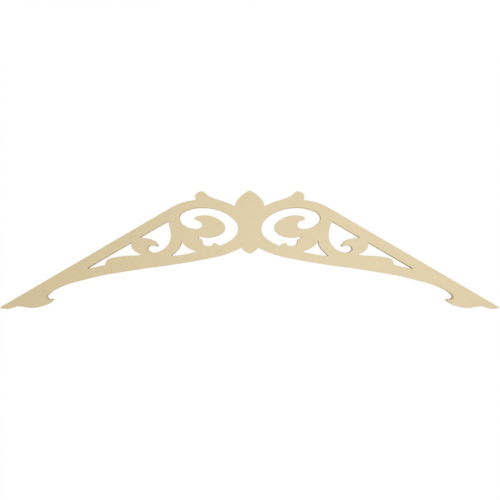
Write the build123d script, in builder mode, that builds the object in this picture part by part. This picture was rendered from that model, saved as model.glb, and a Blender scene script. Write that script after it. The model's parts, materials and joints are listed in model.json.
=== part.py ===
from build123d import *
import math
import os

# A flat fretwork gable pediment, routed out of one board. It lies on its back face: +X runs along its span,
# +Y points to the ridge of the gable and +Z out of its front face. Sizes are in millimetres.

# The board and the roof that it fits under
span = 1828.8  # from foot tip to foot tip
pitch_rise = 7.0  # the roof rises this much
pitch_run = 12.0  # in this much
thickness = 25.4
rake_band = 36.5  # solid rail between the rake edge and the cut-outs below it
arris = 0.8  # radius sanded along the edges of both faces
cutter_radius = 1.6  # left in inner corners, and sanded off outer ones

# Where the ornament starts and ends
finial_top = 106.0  # drop of the finial's point below the ridge of the roof
leaf_height = 70.0  # down to its foot, which is hidden between the wings
leaf_half = 55.0  # half of its width, at its foot
arch_crown = 300.0  # drop of the point where the two arched undersides would meet, behind the pendant
pendant_reach = 36.5  # from that point down to the pendant's tip
pendant_height = 25.0  # up to its root, which is hidden too
pendant_half = 34.0  # half of its width, at its root
toe_drop = 6.0  # the toe hangs this far below the foot tip
sole_slope = math.radians(24)  # at which the sole leaves the foot tip
root_length = 120.0  # rake length from the ridge to the wing's root, which is hidden in the finial
knob_length = 240.0  # rake length from the ridge to the notch behind the scroll's knob
scroll_length = 332.0  # rake length taken by the finial and its scroll, measured from the ridge
foot_length = 246.0  # rake length taken by the foot, measured from its tip

# What follows from these sizes
pitch = math.atan2(pitch_rise, pitch_run)
rise = span / 2 * pitch_rise / pitch_run
rake_length = span / 2 / math.cos(pitch)
leg_length = rake_length - scroll_length - foot_length
ridge_height = (finial_top + rise + toe_drop) / 2  # puts the origin at the middle of the board's height
tip_spread = math.cos((pitch - sole_slope) / 2) / math.sin((pitch + sole_slope) / 2)
tip_loss = cutter_radius * (tip_spread - 1)  # what the corner radius takes off the point of the foot

# The left half is drawn, and mirrored. Its points are measured from the ridge: out from the centreline and
# down, or along the left rake and square to it into the board. Those of the foot are measured from its tip.
ridge = (0, ridge_height, 0)
down_the_rake = (-math.cos(pitch), -math.sin(pitch), 0)
centre_plane = Plane(origin=ridge, x_dir=(-1, 0, 0), z_dir=(0, 0, 1))
rake_plane = Plane(origin=ridge, x_dir=down_the_rake, z_dir=(0, 0, 1))
foot_plane = Plane(origin=(-span / 2, ridge_height - rise, 0))


def on_centre(*points):
    return [centre_plane.from_local_coords(point) for point in points]


def on_leaf(*points):
    """Shares of half the leaf's width and of its height, down from the finial's point."""
    return on_centre(*((side * leaf_half, finial_top + drop * leaf_height) for side, drop in points))


def on_pendant(*points):
    """Shares of half the pendant's width and of its height, up from its point."""
    tip = arch_crown + pendant_reach
    return on_centre(*((side * pendant_half, tip - lift * pendant_height) for side, lift in points))


def on_arch(*points):
    """Distances out from the centreline and down from the arch's crown."""
    return on_centre(*((out, arch_crown + fall) for out, fall in points))


def on_scroll(*points):
    return [rake_plane.from_local_coords(point) for point in points]


def on_knob(*points):
    """Shares of the way from the wing's root to the notch, and depths below the rake edge."""
    length = knob_length - root_length
    return on_scroll(*((root_length + share * length, depth) for share, depth in points))


def on_shoulder(*points):
    """Shares of the way from the notch to where the scroll ends, and depths below the rake edge."""
    length = scroll_length - knob_length
    return on_scroll(*((knob_length + share * length, depth) for share, depth in points))


def on_leg(*points):
    """The leg takes up the span: its points are shares of its length, and depths below the rake edge."""
    return on_scroll(*((scroll_length + share * leg_length, depth) for share, depth in points))


def on_foot(*points):
    return [foot_plane.from_local_coords(point) for point in points]


def wing_outline():
    """Rake edge, foot and arched underside, closed along the centreline inside the finial."""
    root, notch = on_knob((0, 127), (1, 22))
    rake_start, tip = on_scroll((scroll_length, 0), (rake_length + tip_loss / math.cos(pitch), 0))
    toe, spur = on_foot((25, -toe_drop), (191, 29))
    crown = on_arch((0, 0))[0]
    with BuildLine() as wing:
        Spline(
            root,
            *on_knob((0.133, 104), (0.25, 84.5), (0.417, 62), (0.55, 43.5), (0.625, 29), (0.658, 15)),
            *on_knob((0.692, 7.3), (0.758, 3.2), (0.842, 1.6), (0.933, 4), (0.988, 11)),
            notch,
        )
        Spline(
            notch,
            *on_shoulder((0.163, 15.5), (0.38, 8.5), (0.652, 3)),
            rake_start,
            tangents=(rake_plane.x_dir - rake_plane.y_dir * 0.45, rake_plane.x_dir),
        )
        Line(rake_start, tip)
        Spline(tip, toe, tangents=((math.cos(sole_slope), -math.sin(sole_slope)), (1, 0)))
        Spline(
            toe,
            *on_foot((49, 0), (64, 3.5), (88, 1), (113, -2.2), (146, 1.5), (172, 12), (186, 22)),
            spur,
            tangents=((1, 0), (0.5, 1)),
        )
        Spline(
            spur,
            *on_foot((182, 28), (174, 28.8), (168, 33.2), (167, 39.5), (172, 46), (186, 57.8), (212, 71.5)),
            *on_leg((1, 48.5), (0.88, 64), (0.76, 80.5), (0.6, 109), (0.43, 140.5), (0.27, 172.5)),
            *on_leg((0.1, 204.8)),
            *on_arch((149.6, 54.7), (99.8, 43), (59.7, 28.3), (33.4, 15.9)),
            crown,
        )
        Polyline(crown, *on_centre((0, 190)), root)
    return wing.edges()


def finial_outline():
    """Pointed leaf on the centreline, with the pendant below it."""
    crown, leaf_foot = on_leaf((0, 0), (1, 1))
    pendant_root, pendant = on_pendant((1, 1), (0, 0))
    with BuildLine() as finial:
        Spline(
            crown,
            *on_leaf((0.145, 0.043), (0.364, 0.15), (0.582, 0.293), (0.773, 0.443), (0.916, 0.629)),
            *on_leaf((0.978, 0.771)),
            leaf_foot,
            tangents=((-1, 0), (-0.03, -1)),
        )
        Line(leaf_foot, pendant_root)
        Spline(
            pendant_root,
            *on_pendant((0.809, 0.7), (0.618, 0.44), (0.353, 0.2)),
            pendant,
            tangents=((0.6, -0.6), (1, 0)),
        )
        Line(pendant, crown)
    return finial.edges()


def scroll_outline():
    """C-shaped opening that curls round a leaf and ends in an eye."""
    cusp, crotch = on_scroll((249, 211.5), (303, 139))
    with BuildLine() as scroll:
        Spline(
            crotch,
            *on_scroll((295, 146), (284, 155.5), (268, 165), (250, 171.8), (230, 175.2), (212, 172.3)),
            *on_scroll((200.5, 162.5), (196.5, 149), (200, 135.5), (208.5, 119), (222, 101.5), (243, 85.5)),
            *on_scroll((262, 77.2), (272, 74.8), (281.5, 78.5), (275, 86.5), (268.5, 97), (266, 107)),
            *on_scroll((270.5, 116), (283, 118), (300, 109.7), (317, 94.5), (327, 77), (331.5, 62)),
            *on_scroll((328.5, 48.5), (319, 39.5), (300, 36.3), (282, 38.8), (262, 44.2), (240, 54.3)),
            *on_scroll((218, 68.3), (198, 84.8), (180, 105), (166, 128), (157, 152), (154.7, 171)),
            *on_scroll((160, 190), (170, 202), (185, 210), (215, 214.2)),
            cusp,
        )
        Spline(
            cusp,
            *on_scroll((256.5, 199), (264.5, 191.3), (274, 195), (289, 189), (300, 179), (301, 172)),
            *on_scroll((297.7, 161), (300, 151)),
            crotch,
        )
    return scroll.edges()


def comma_outline():
    """Three-cornered opening under the rake, with a beak of wood hanging into it."""
    inner, outer, beak = on_leg((0.078, rake_band), (0.332, rake_band), (0.241, 100))
    with BuildLine() as comma:
        Line(outer, inner)
        Spline(
            inner,
            *on_leg((0.083, 50), (0.102, 78.5), (0.139, 103.5), (0.204, 117), (0.266, 115.5)),
            *on_leg((0.312, 102), (0.322, 88), (0.303, 81.3), (0.270, 87)),
            beak,
        )
        Spline(
            beak,
            *on_leg((0.237, 90), (0.247, 73), (0.282, 53)),
            outer,
        )
    return comma.edges()


def spandrel_outline():
    """Small three-pointed opening between the scroll, the comma and the arch."""
    top, outer, inner = on_leg((0.055, 118), (0.192, 152.7), (0.002, 188.5))
    with BuildLine() as spandrel:
        Spline(top, *on_leg((0.087, 135.3), (0.126, 145.6), (0.163, 150)), outer)
        Spline(outer, *on_leg((0.150, 162.4), (0.080, 175.6)), inner)
        Spline(inner, *on_leg((0.036, 167.2), (0.057, 147.2)), top)
    return spandrel.edges()


def sliver_outline():
    """Long opening between the rake rail and the stepped lower rail."""
    inner, outer = on_leg((0.390, rake_band), (0.806, rake_band))
    step, low = on_leg((0.657, 60.3), (0.377, 95))
    with BuildLine() as sliver:
        Line(outer, inner)
        Spline(inner, *on_leg((0.415, 53), (0.404, 76)), low)
        Spline(
            low,
            *on_leg((0.412, 88.5), (0.500, 66), (0.571, 52.2), (0.626, 48.3), (0.645, 55)),
            step,
        )
        Spline(step, *on_leg((0.715, 51)), outer)
    return sliver.edges()


def is_corner(upright, board):
    """Whether the outline turns at an upright edge, where it might also run on from curve to curve."""
    middle = upright.center()
    sides = [side for side in board.faces() if upright in side.edges()]
    return sides[0].normal_at(middle).get_angle(sides[1].normal_at(middle)) > 10


with BuildPart() as pediment_panel:
    with BuildSketch() as face:
        make_face(wing_outline())
        make_face(finial_outline())
        for opening in (scroll_outline, comma_outline, spandrel_outline, sliver_outline):
            make_face(opening(), mode=Mode.SUBTRACT)
        mirror(about=Plane.YZ)
    extrude(amount=thickness)
    uprights = pediment_panel.edges().filter_by(Axis.Z)
    fillet([edge for edge in uprights if is_corner(edge, pediment_panel)], radius=cutter_radius)
    caps = pediment_panel.faces().filter_by(Axis.Z)
    fillet(caps.edges(), radius=arris)

pediment_panel.part.label = "pediment_panel"
os.makedirs("parts", exist_ok=True)
export_step(pediment_panel.part, "parts/pediment_panel.step")
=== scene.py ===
"""Finishes a fretwork gable pediment as factory-primed trim board and sets it out for its picture.

The board keeps the shape that the frame gives it. Its two flat faces get sprayed primer, its routed
edges show the open cells and the cutter's marks through a thin coat, and the arris between them is
rubbed by sanding.
"""

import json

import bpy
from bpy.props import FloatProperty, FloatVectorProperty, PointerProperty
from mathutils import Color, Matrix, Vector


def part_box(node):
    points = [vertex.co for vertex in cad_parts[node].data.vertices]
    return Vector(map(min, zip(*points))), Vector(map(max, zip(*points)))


bl_info = {
    "name": "Gable Pediment Finish",
    "version": (1, 0, 0),
    "blender": (4, 5, 0),
    "location": "3D View > Sidebar > Pediment",
    "description": "Primed faces, routed edges and a pale studio for a fretwork gable pediment",
    "category": "Material",
}

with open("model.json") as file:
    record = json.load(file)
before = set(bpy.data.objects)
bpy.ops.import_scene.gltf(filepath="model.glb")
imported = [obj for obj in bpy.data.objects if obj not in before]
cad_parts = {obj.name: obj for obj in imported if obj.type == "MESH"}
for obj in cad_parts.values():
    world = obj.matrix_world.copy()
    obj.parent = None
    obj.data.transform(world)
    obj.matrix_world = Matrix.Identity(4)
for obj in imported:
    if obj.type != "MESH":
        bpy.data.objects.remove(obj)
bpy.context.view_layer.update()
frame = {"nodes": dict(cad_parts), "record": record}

board = frame["nodes"]["pediment_panel"]
board_low, board_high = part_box("pediment_panel")
recorded_primer = frame["record"]["materials"][0]["base_color"][:3]
mm = 0.001
white = (1, 1, 1, 1)

# How flat the surface lies, from 0 on an upright edge to 1 on a face: where the arris turns into either
edge_full = 0.08
edge_ends = 0.5
face_begins = 0.55
face_full = 0.97

# Values that a cloudy pattern is mostly between, then those of two such patterns added together
cloud_low = 0.3
cloud_high = 0.7
pair_low = 0.7
pair_high = 1.3

# Values of such a pattern at which a rubbed patch of the arris begins, and at which it is full
patch_begins = 0.35
patch_full = 0.6

# How far an open cell reaches from its middle, as shares of its width: the pit, then its rim
cell_pit = 0.2
cell_rim = 0.42

marks_upright = 0.03  # how fast the cutter's marks change through the board, with 1 along its edge
coat_ior = 1.5
sensor_width = 36  # of the camera, in millimetres
node_spacing = 200


class PrimedFace(bpy.types.PropertyGroup):
    """Primer sprayed over the sanded front and back"""

    colour: FloatVectorProperty(
        name="Primer",
        description="Colour of the dry primer",
        subtype="COLOR_GAMMA",
        size=3,
        min=0,
        max=1,
        default=recorded_primer,
    )
    drift: FloatProperty(
        name="Drift",
        description="How far the primer's tone drifts from place to place",
        subtype="FACTOR",
        min=0,
        max=0.2,
        default=0.012,
    )
    cloud_width: FloatProperty(
        name="Cloud width",
        description="Width of the broad clouds in that drift",
        subtype="DISTANCE",
        unit="LENGTH",
        default=110 * mm,
    )
    mist_width: FloatProperty(
        name="Mist width",
        description="Width of the small clouds in that drift",
        subtype="DISTANCE",
        unit="LENGTH",
        default=16 * mm,
    )
    fleck: FloatProperty(
        name="Fleck",
        description="How far its tone changes from one fleck to the next",
        subtype="FACTOR",
        min=0,
        max=0.3,
        default=0.06,
    )
    fleck_width: FloatProperty(
        name="Fleck width",
        description="Width of one fleck",
        subtype="DISTANCE",
        unit="LENGTH",
        default=1.2 * mm,
    )
    peel_width: FloatProperty(
        name="Peel width",
        description="Width of one dimple of the sprayed coat",
        subtype="DISTANCE",
        unit="LENGTH",
        default=2.4 * mm,
    )
    peel_depth: FloatProperty(
        name="Peel depth",
        description="Depth of those dimples",
        subtype="DISTANCE",
        unit="LENGTH",
        default=0.04 * mm,
    )
    grain_width: FloatProperty(
        name="Grain width",
        description="Width of one grain of the coat",
        subtype="DISTANCE",
        unit="LENGTH",
        default=0.35 * mm,
    )
    grain_share: FloatProperty(
        name="Grain share",
        description="Depth of the grain as a share of the dimples' depth",
        subtype="FACTOR",
        min=0,
        max=1,
        default=0.2,
    )
    roughness: FloatProperty(
        name="Roughness",
        description="Least roughness of the primer, which dries with a low sheen",
        subtype="FACTOR",
        min=0,
        max=1,
        default=0.36,
    )
    sheen_drift: FloatProperty(
        name="Sheen drift",
        description="How much rougher the coat dries in places, on the faces and the edges",
        subtype="FACTOR",
        min=0,
        max=0.5,
        default=0.08,
    )
    sheen_width: FloatProperty(
        name="Sheen width",
        description="Width of those places",
        subtype="DISTANCE",
        unit="LENGTH",
        default=20 * mm,
    )


class RoutedEdge(bpy.types.PropertyGroup):
    """Edges that the cutter left, under a thin coat that has soaked in"""

    # Partly the cut edge's own finish and partly painted light: this colour is lighter than the primer to
    # stand in for light falling on the upright edges.
    colour: FloatVectorProperty(
        name="Cut edge",
        description="Colour of the cut board through its thin coat",
        subtype="COLOR_GAMMA",
        size=3,
        min=0,
        max=1,
        default=(0.89, 0.825, 0.69),
    )
    cell_width: FloatProperty(
        name="Cell width",
        description="Width of one open cell of the cut board",
        subtype="DISTANCE",
        unit="LENGTH",
        default=0.8 * mm,
    )
    cell_depth: FloatProperty(
        name="Cell depth",
        description="Depth of an open cell",
        subtype="DISTANCE",
        unit="LENGTH",
        default=0.12 * mm,
    )
    # Painted shade: the open cells are darkened in colour, as shade would fall in the pits.
    painted_cell_shade: FloatProperty(
        name="Cell tone",
        description="Tone in an open cell, with 1 on the walls between",
        min=0,
        max=2,
        default=0.84,
    )
    mark_width: FloatProperty(
        name="Mark width",
        description="Distance from one upright cutter mark to the next",
        subtype="DISTANCE",
        unit="LENGTH",
        default=3.2 * mm,
    )
    mark_depth: FloatProperty(
        name="Mark depth",
        description="Depth of the cutter's marks",
        subtype="DISTANCE",
        unit="LENGTH",
        default=0.07 * mm,
    )
    # Painted shade in the hollows of the cutter's marks.
    painted_hollow_shade: FloatProperty(
        name="Hollow tone",
        description="Tone in the hollows of the cutter's marks",
        min=0,
        max=2,
        default=0.94,
    )
    # Painted highlight on the ridges between the cutter's marks.
    painted_ridge_highlight: FloatProperty(
        name="Ridge tone",
        description="Tone on the ridges between those marks",
        min=0,
        max=2,
        default=1.05,
    )
    roughness: FloatProperty(
        name="Roughness",
        description="Least roughness of the cut edge",
        subtype="FACTOR",
        min=0,
        max=1,
        default=0.8,
    )
    rub: FloatProperty(
        name="Arris rub",
        description="How far sanding has paled the arris",
        subtype="FACTOR",
        min=0,
        max=1,
        default=0.35,
    )
    rub_colour: FloatVectorProperty(
        name="Rubbed arris",
        description="Colour of the board where sanding has gone through the coat",
        subtype="COLOR_GAMMA",
        size=3,
        min=0,
        max=1,
        default=(1, 0.978, 0.926),
    )
    rub_width: FloatProperty(
        name="Rub width",
        description="Width of one rubbed patch of the arris",
        subtype="DISTANCE",
        unit="LENGTH",
        default=9 * mm,
    )


class Studio(bpy.types.PropertyGroup):
    """Pale floor, soft light from above and the camera over the board"""

    floor_width: FloatProperty(
        name="Floor width",
        description="Side of the square floor",
        subtype="DISTANCE",
        unit="LENGTH",
        default=60,
    )
    floor_gap: FloatProperty(
        name="Floor gap",
        description="Gap that keeps the floor clear of the board's back face",
        subtype="DISTANCE",
        unit="LENGTH",
        default=0.2 * mm,
    )
    floor_white: FloatProperty(
        name="Floor white",
        description="Share of plain white in the floor as it is seen, the rest being the light on it",
        subtype="FACTOR",
        min=0,
        max=1,
        default=0.85,
    )
    floor_bounce: FloatProperty(
        name="Floor bounce",
        description="Share of its light that the floor throws back at the board",
        subtype="FACTOR",
        min=0,
        max=1,
        default=0.85,
    )
    room_light: FloatProperty(
        name="Room light",
        description="Strength of the even light from all round",
        min=0,
        max=2,
        default=0.5,
    )
    lamp_power: FloatProperty(
        name="Lamp power",
        description="Power of the softbox",
        unit="POWER",
        default=445,
    )
    lamp_size: FloatVectorProperty(
        name="Lamp size",
        description="Size of the softbox along the board and across it",
        subtype="XYZ",
        unit="LENGTH",
        size=2,
        default=(7.6, 4.1),
    )
    lamp_place: FloatVectorProperty(
        name="Lamp place",
        description="Where the softbox hangs, high up and to the right",
        subtype="XYZ",
        unit="LENGTH",
        size=3,
        default=(2.1, 0, 8),
    )
    camera_height: FloatProperty(
        name="Camera height",
        description="Height of the camera above the front face",
        subtype="DISTANCE",
        unit="LENGTH",
        default=1.774,
    )
    view_width: FloatProperty(
        name="View width",
        description="Width of the picture at the front face",
        subtype="DISTANCE",
        unit="LENGTH",
        default=1.8302,
    )
    view_centre: FloatVectorProperty(
        name="View centre",
        description="Point of the board in the middle of the picture",
        subtype="XYZ",
        unit="LENGTH",
        size=2,
        default=(0.73 * mm, -0.73 * mm),
    )


class NodeBench:
    """Adds nodes to a tree. An input takes a number, a colour or another node's output."""

    def __init__(self, owner):
        owner.use_nodes = True
        self.tree = owner.node_tree
        self.tree.nodes.clear()

    def add(self, kind, output, inputs=(), **settings):
        """New node, given back as the named output, or as itself where none is named."""
        node = self.tree.nodes.new(kind)
        node.location.x = node_spacing * len(self.tree.nodes)
        for name, value in settings.items():
            setattr(node, name, value)
        for name, value in dict(inputs).items():
            socket = find_socket(node.inputs, name)
            if isinstance(value, bpy.types.NodeSocket):
                self.tree.links.new(value, socket)
            else:
                socket.default_value = value
        return find_socket(node.outputs, output) if output else node

    def maths(self, operation, *values):
        names = ("Value", "Value_001", "Value_002")
        return self.add("ShaderNodeMath", "Value", zip(names, values), operation=operation)

    def noise(self, place, width, detail=2):
        """Cloudy pattern between 0 and 1, in lumps of about that width."""
        inputs = {"Vector": place, "Scale": 1 / width, "Detail": detail}
        return self.add("ShaderNodeTexNoise", "Fac", inputs)

    def step(self, value, low, high, start=0, end=1):
        """Smooth change from start to end as the value passes from low to high."""
        inputs = {"Value": value, "From Min": low, "From Max": high, "To Min": start, "To Max": end}
        return self.add("ShaderNodeMapRange", "Result", inputs, interpolation_type="SMOOTHSTEP")

    def blend(self, share, first, second):
        """Colour that passes from the first to the second as the share rises from 0 to 1."""
        inputs = {"Factor_Float": share, "A_Color": first, "B_Color": second}
        return self.add("ShaderNodeMix", "Result_Color", inputs, data_type="RGBA")

    def tone(self, colour, strength):
        """Colour made lighter or darker by a strength around 1."""
        inputs = {"Vector": colour, "Scale": strength}
        return self.add("ShaderNodeVectorMath", "Vector", inputs, operation="SCALE")


def find_socket(sockets, identifier):
    return next(socket for socket in sockets if socket.identifier == identifier)


def as_light(colour):
    """Screen colour as the shader's own light values."""
    return (*Color(colour).from_srgb_to_scene_linear(), 1)


def surface_shares(bench, place):
    """Shares of face, routed edge and arris, told apart by which way the surface looks."""
    normal = find_socket(place.node.outputs, "Normal")
    looks_up = bench.add("ShaderNodeSeparateXYZ", "Z", {"Vector": normal})
    flatness = bench.maths("ABSOLUTE", looks_up)
    on_face = bench.step(flatness, face_begins, face_full)
    on_edge = bench.step(flatness, edge_full, edge_ends, 1, 0)
    on_arris = bench.maths("SUBTRACT", bench.maths("SUBTRACT", 1, on_face), on_edge)
    return on_face, on_edge, on_arris


def primer_colour(bench, place, face):
    """Primer that drifts over the board and is flecked close up."""
    clouds = bench.noise(place, face.cloud_width)
    mist = bench.noise(place, face.mist_width)
    flecks = bench.noise(place, face.fleck_width, detail=4)
    drift = bench.step(bench.maths("ADD", clouds, mist), pair_low, pair_high, -face.drift, face.drift)
    fleck = bench.step(flecks, cloud_low, cloud_high, -face.fleck, face.fleck)
    strength = bench.maths("ADD", bench.maths("ADD", drift, fleck), 1)
    return bench.tone(as_light(face.colour)[:3], strength)


def primer_relief(bench, place, face):
    """Height of the sprayed coat in millimetres: soft dimples under a fine grain."""
    dimples = bench.noise(place, face.peel_width, detail=1)
    grain = bench.maths("MULTIPLY", bench.noise(place, face.grain_width), face.grain_share)
    return bench.maths("MULTIPLY", bench.maths("ADD", dimples, grain), face.peel_depth / mm)


def open_cells(bench, place, edge):
    """Share of an open cell at each point of a cut edge: 1 in a cell, and 0 on the walls between."""
    inputs = {"Vector": place, "Scale": 1 / edge.cell_width}
    distance = bench.add("ShaderNodeTexVoronoi", "Distance", inputs)
    return bench.step(distance, cell_pit, cell_rim, 1, 0)


def cutter_marks(bench, place, edge):
    """Upright marks of the cutter: a pattern that hardly changes through the board's thickness."""
    inputs = {"Vector": place, "Vector_001": (1, 1, marks_upright)}
    drawn_out = bench.add("ShaderNodeVectorMath", "Vector", inputs, operation="MULTIPLY")
    return bench.noise(drawn_out, edge.mark_width, detail=3)


def edge_colour(bench, cells, marks, edge):
    """Cut board with painted shade in its open cells and in the hollows of the cutter's marks, and a
    painted highlight on the ridges between those marks.
    """
    # Painted shade in the open cells.
    painted_cell_shade = bench.maths("MULTIPLY_ADD", cells, edge.painted_cell_shade - 1, 1)
    # Painted shade in the hollows of the marks and a painted highlight on their ridges.
    painted_mark_light_and_shade = bench.step(marks, cloud_low, cloud_high, edge.painted_hollow_shade, edge.painted_ridge_highlight)
    return bench.tone(as_light(edge.colour)[:3], bench.maths("MULTIPLY", painted_cell_shade, painted_mark_light_and_shade))


def edge_relief(bench, cells, marks, edge):
    """Height of the cut edge in millimetres: pits of the open cells under the cutter's marks."""
    pits = bench.maths("MULTIPLY", cells, -edge.cell_depth / mm)
    return bench.maths("MULTIPLY_ADD", marks, edge.mark_depth / mm, pits)


def rubbed_share(bench, place, on_arris, edge):
    """Share of the board that shows where sanding went through the coat, in patches along the arris."""
    pattern = bench.noise(place, edge.rub_width, detail=3)
    patches = bench.step(pattern, patch_begins, patch_full)
    return bench.maths("MULTIPLY", bench.maths("MULTIPLY", on_arris, patches), edge.rub)


def board_material(face, edge):
    """Primed faces and routed edges, with the rubbed arris between them."""
    material = bpy.data.materials.new("primed_board")
    bench = NodeBench(material)
    place = bench.add("ShaderNodeTexCoord", "Object")
    on_face, on_edge, on_arris = surface_shares(bench, place)
    cells = open_cells(bench, place, edge)
    marks = cutter_marks(bench, place, edge)

    # Cut edge colour with painted shade in its cells and the hollows of its marks, a painted highlight on
    # their ridges, and painted light in its paler tone.
    cut = edge_colour(bench, cells, marks, edge)
    coated = bench.blend(on_face, cut, primer_colour(bench, place, face))
    rubbed = rubbed_share(bench, place, on_arris, edge)
    colour = bench.blend(rubbed, coated, as_light(edge.rub_colour))

    relief = bench.maths("MULTIPLY", edge_relief(bench, cells, marks, edge), on_edge)
    relief = bench.maths("MULTIPLY_ADD", primer_relief(bench, place, face), on_face, relief)
    normal = bench.add("ShaderNodeBump", "Normal", {"Height": relief, "Distance": mm})

    roughness = bench.step(on_face, 0, 1, edge.roughness, face.roughness)
    sheen = bench.noise(place, face.sheen_width)
    roughness = bench.maths("MULTIPLY_ADD", sheen, face.sheen_drift, roughness)
    inputs = {"Base Color": colour, "Roughness": roughness, "IOR": coat_ior, "Normal": normal}
    surface = bench.add("ShaderNodeBsdfPrincipled", "BSDF", inputs)
    bench.add("ShaderNodeOutputMaterial", None, {"Surface": surface})
    return material


def seen_directly(bench):
    """1 where the camera sees a surface, straight or in a gloss or glass, and 0 for the light it throws."""
    rays = bench.add("ShaderNodeLightPath", None).outputs
    mirrored = bench.maths("MAXIMUM", rays["Is Glossy Ray"], rays["Is Transmission Ray"])
    return bench.maths("MAXIMUM", rays["Is Camera Ray"], mirrored)


def floor_material(studio):
    """Pale floor that is seen as nearly white, and still keeps the board's shadow."""
    material = bpy.data.materials.new("studio_floor")
    bench = NodeBench(material)
    seen = seen_directly(bench)
    bounce = studio.floor_bounce
    paint = bench.blend(seen, (bounce, bounce, bounce, 1), white)
    lit = bench.add("ShaderNodeBsdfDiffuse", "BSDF", {"Color": paint})
    plain = bench.add("ShaderNodeEmission", "Emission", {"Color": white, "Strength": 1})
    share = bench.maths("MULTIPLY", seen, studio.floor_white)
    surface = bench.add("ShaderNodeMixShader", "Shader", {"Fac": share, "Shader": lit, "Shader_001": plain})
    bench.add("ShaderNodeOutputMaterial", None, {"Surface": surface})
    return material


def lay_floor(scene, studio):
    half = studio.floor_width / 2
    height = board_low.z - studio.floor_gap
    corners = [(-half, -half, height), (half, -half, height), (half, half, height), (-half, half, height)]
    mesh = bpy.data.meshes.new("studio_floor")
    mesh.from_pydata(corners, [], [(0, 1, 2, 3)])
    mesh.materials.append(floor_material(studio))
    floor = bpy.data.objects.new("studio_floor", mesh)
    scene.collection.objects.link(floor)


def light_room(scene, studio):
    """Even light from all round, in a room that is itself seen as white."""
    world = bpy.data.worlds.new("studio_room")
    bench = NodeBench(world)
    strength = bench.step(seen_directly(bench), 0, 1, studio.room_light, 1)
    room = bench.add("ShaderNodeBackground", "Background", {"Color": white, "Strength": strength})
    bench.add("ShaderNodeOutputWorld", None, {"Surface": room})
    scene.world = world


def hang_lamp(scene, studio):
    """Large, high softbox that lights the board nearly evenly, with its gleam on the right half."""
    light = bpy.data.lights.new("softbox", "AREA")
    light.shape = "RECTANGLE"
    light.size, light.size_y = studio.lamp_size
    light.energy = studio.lamp_power
    lamp = bpy.data.objects.new("softbox", light)
    lamp.location = studio.lamp_place
    scene.collection.objects.link(lamp)


def place_camera(scene, studio):
    """Camera straight above the board, with its picture as wide as the view at the front face."""
    optics = bpy.data.cameras.new("camera")
    optics.sensor_width = sensor_width
    optics.lens = sensor_width * studio.camera_height / studio.view_width
    camera = bpy.data.objects.new("camera", optics)
    camera.location = (*studio.view_centre, board_high.z + studio.camera_height)
    scene.collection.objects.link(camera)
    scene.camera = camera


class PEDIMENT_OT_finish_board(bpy.types.Operator):
    """Gives the board its primed faces and routed edges"""

    bl_idname = "pediment.finish_board"
    bl_label = "Finish Board"

    def execute(self, context):
        scene = context.scene
        board.material_slots[0].material = board_material(scene.pediment_face, scene.pediment_edge)
        return {"FINISHED"}


class PEDIMENT_OT_set_stage(bpy.types.Operator):
    """Lays the floor, lights the room and points the camera straight down at the board"""

    bl_idname = "pediment.set_stage"
    bl_label = "Set Stage"

    def execute(self, context):
        scene = context.scene
        studio = scene.pediment_studio
        lay_floor(scene, studio)
        light_room(scene, studio)
        hang_lamp(scene, studio)
        place_camera(scene, studio)
        scene.view_settings.view_transform = "Standard"
        return {"FINISHED"}


class PEDIMENT_PT_sidebar(bpy.types.Panel):
    """Finish and stage of the gable pediment"""

    bl_label = "Gable Pediment"
    bl_idname = "PEDIMENT_PT_sidebar"
    bl_space_type = "VIEW_3D"
    bl_region_type = "UI"
    bl_category = "Pediment"

    def draw(self, context):
        scene = context.scene
        steps = (
            (PEDIMENT_OT_finish_board, (scene.pediment_face, scene.pediment_edge)),
            (PEDIMENT_OT_set_stage, (scene.pediment_studio,)),
        )
        for operator, groups in steps:
            box = self.layout.box()
            for group in groups:
                for name in group.__annotations__:
                    box.prop(group, name)
            box.operator(operator.bl_idname)


settings = {
    "pediment_face": PrimedFace,
    "pediment_edge": RoutedEdge,
    "pediment_studio": Studio,
}
classes = (*settings.values(), PEDIMENT_OT_finish_board, PEDIMENT_OT_set_stage, PEDIMENT_PT_sidebar)


def register():
    for entry in classes:
        bpy.utils.register_class(entry)
    for name, group in settings.items():
        setattr(bpy.types.Scene, name, PointerProperty(type=group))


def unregister():
    for name in settings:
        delattr(bpy.types.Scene, name)
    for entry in reversed(classes):
        bpy.utils.unregister_class(entry)


def main():
    register()
    bpy.ops.pediment.set_stage()
    bpy.ops.pediment.finish_board()


if __name__ == "__main__":
    main()
